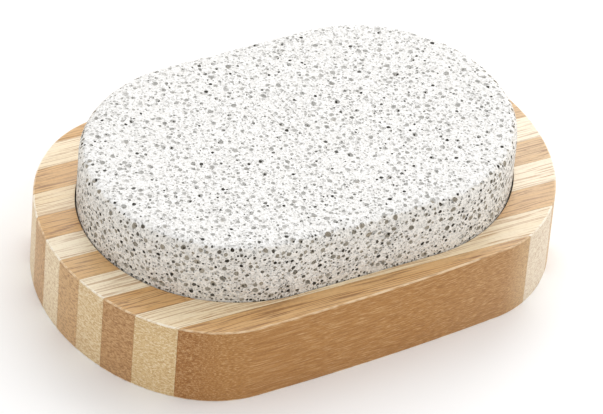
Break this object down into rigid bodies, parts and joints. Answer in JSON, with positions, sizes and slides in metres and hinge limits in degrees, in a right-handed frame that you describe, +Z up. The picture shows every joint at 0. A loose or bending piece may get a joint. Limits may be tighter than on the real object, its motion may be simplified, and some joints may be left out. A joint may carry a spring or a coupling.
{
  "type": "pumice stone",
  "caption": "Oval pumice foot stone, flat-topped and full of small pits, set in the top of a round-ended block of light and dark laminated bamboo.",
  "frame": {"origin": "middle of the bamboo block's underside, which is the bottom of the whole part", "axes": "+X along the block's long axis, +Y across it towards the side away from the widest view of the front strip, +Z up through the stone's flat top"},
  "size_m": [0.105, 0.0704, 0.0304],
  "materials": {
    "pumice": "sawn and tumbled natural pumice, matt, off-white, full of small open gas bubbles with grey floors",
    "carbonised_bamboo": "steam-carbonised laminated bamboo, sanded, thin clear matt oil, tan to mid brown",
    "natural_bamboo": "natural laminated bamboo, sanded, thin clear matt oil, pale straw"
  },
  "bodies": {
    "root": {"pumice_stone": "pumice", "bamboo_strip_01_carbonised": "carbonised_bamboo", "bamboo_strip_02_natural": "natural_bamboo", "bamboo_strip_03_carbonised": "carbonised_bamboo", "bamboo_strip_04_natural": "natural_bamboo", "bamboo_strip_05_carbonised": "carbonised_bamboo", "bamboo_strip_06_natural": "natural_bamboo", "bamboo_strip_07_carbonised": "carbonised_bamboo", "bamboo_strip_08_natural": "natural_bamboo", "bamboo_strip_09_carbonised": "carbonised_bamboo", "bamboo_strip_10_natural": "natural_bamboo", "bamboo_strip_11_carbonised": "carbonised_bamboo"}
  },
  "joints": []
}
